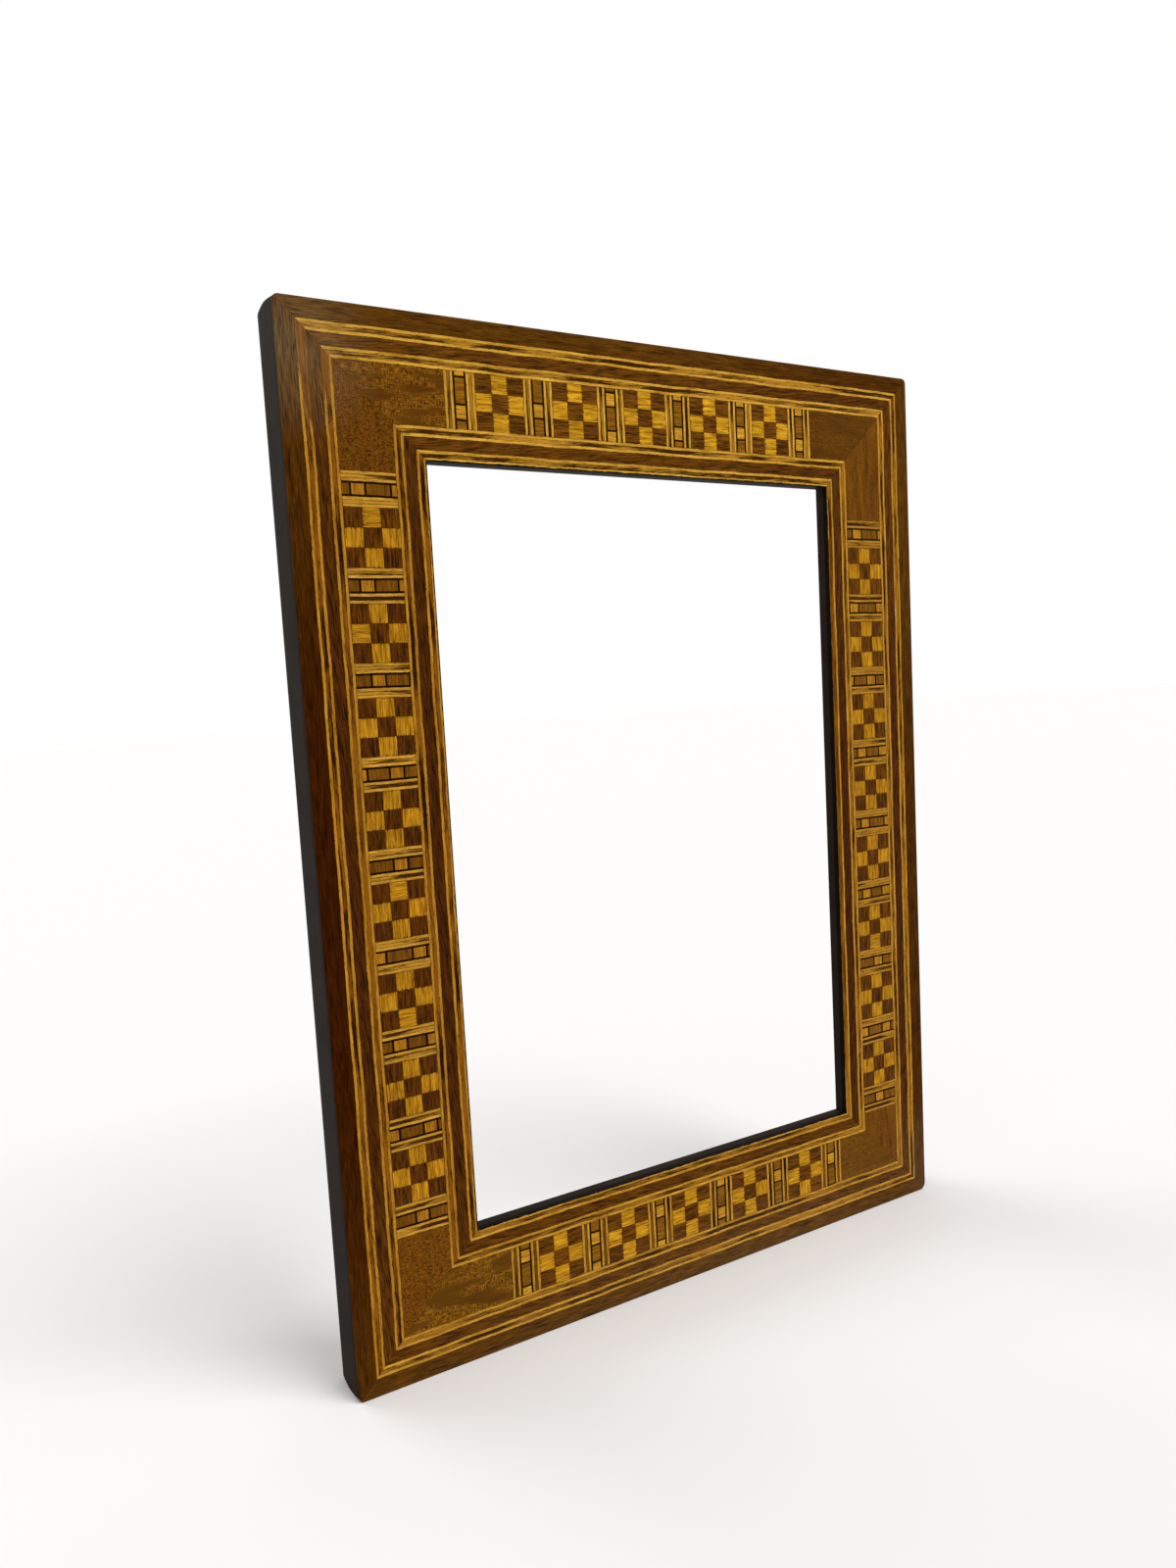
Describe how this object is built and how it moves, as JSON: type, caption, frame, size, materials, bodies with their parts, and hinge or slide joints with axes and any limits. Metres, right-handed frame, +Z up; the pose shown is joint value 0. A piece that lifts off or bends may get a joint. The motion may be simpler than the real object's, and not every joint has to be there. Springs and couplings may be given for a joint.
{
  "type": "picture frame",
  "caption": "Rectangular mitred wooden picture frame with geometric chequer and banding inlay, a rebate behind the opening and swinging ring hangers.",
  "frame": {"origin": "middle of the bottom standing edge, halfway through the thickness", "axes": "+Z up along the height, +X to the right across the width, -Y out of the inlaid face, +Y out of the back"},
  "size_m": [0.305, 0.0242, 0.406],
  "materials": {
    "painted_rail": "black paint on the sides and the sight edge, bare wood behind",
    "walnut_border": "satin varnish",
    "walnut_strip": "satin varnish",
    "boxwood_line": "satin varnish",
    "maple_core": "satin varnish",
    "figured_walnut": "satin varnish",
    "walnut_tile": "satin varnish",
    "maple_tile": "satin varnish",
    "black_stringing": "dyed black, satin varnish",
    "ladder_brown": "satin varnish",
    "ladder_light": "satin varnish",
    "beech_key": "bare",
    "brass_strap": "dull",
    "brass_screw": "dull",
    "brass_ring": "dull"
  },
  "bodies": {
    "root": {"top_rail": "painted_rail", "bottom_rail": "painted_rail", "left_stile": "painted_rail", "right_stile": "painted_rail", "top_border": "walnut_border", "bottom_border": "walnut_border", "left_border": "walnut_border", "right_border": "walnut_border", "top_outer_strip": "walnut_strip", "bottom_outer_strip": "walnut_strip", "left_outer_strip": "walnut_strip", "right_outer_strip": "walnut_strip", "top_inner_strip": "walnut_strip", "bottom_inner_strip": "walnut_strip", "left_inner_strip": "walnut_strip", "right_inner_strip": "walnut_strip", "top_banding_lines": "boxwood_line", "bottom_banding_lines": "boxwood_line", "left_banding_lines": "boxwood_line", "right_banding_lines": "boxwood_line", "top_banding_cores": "maple_core", "bottom_banding_cores": "maple_core", "left_banding_cores": "maple_core", "right_banding_cores": "maple_core", "top_corner_veneers": "figured_walnut", "bottom_corner_veneers": "figured_walnut", "left_corner_veneers": "figured_walnut", "right_corner_veneers": "figured_walnut", "top_dark_tiles": "walnut_tile", "bottom_dark_tiles": "walnut_tile", "left_dark_tiles": "walnut_tile", "right_dark_tiles": "walnut_tile", "top_light_tiles": "maple_tile", "bottom_light_tiles": "maple_tile", "left_light_tiles": "maple_tile", "right_light_tiles": "maple_tile", "top_divider_lines": "boxwood_line", "bottom_divider_lines": "boxwood_line", "left_divider_lines": "boxwood_line", "right_divider_lines": "boxwood_line", "top_divider_cores": "maple_core", "bottom_divider_cores": "maple_core", "left_divider_cores": "maple_core", "right_divider_cores": "maple_core", "top_black_stringing": "black_stringing", "bottom_black_stringing": "black_stringing", "left_black_stringing": "black_stringing", "right_black_stringing": "black_stringing", "ladder_brown_blocks": "ladder_brown", "ladder_light_blocks": "ladder_light", "mitre_keys": "beech_key", "left_hanger_strap": "brass_strap", "right_hanger_strap": "brass_strap", "hanger_screws": "brass_screw"},
    "left_ring": {"left_ring": "brass_ring"},
    "right_ring": {"right_ring": "brass_ring"}
  },
  "joints": [
    {"name": "left_ring_swing", "type": "hinge", "parent": "root", "child": "left_ring", "pos_m": [-0.1323, 0.01218, 0.3], "axis": [1, 0, 0], "range_deg": [0, 180]},
    {"name": "right_ring_swing", "type": "hinge", "parent": "root", "child": "right_ring", "pos_m": [0.1323, 0.01218, 0.3], "axis": [1, 0, 0], "range_deg": [0, 180]}
  ]
}
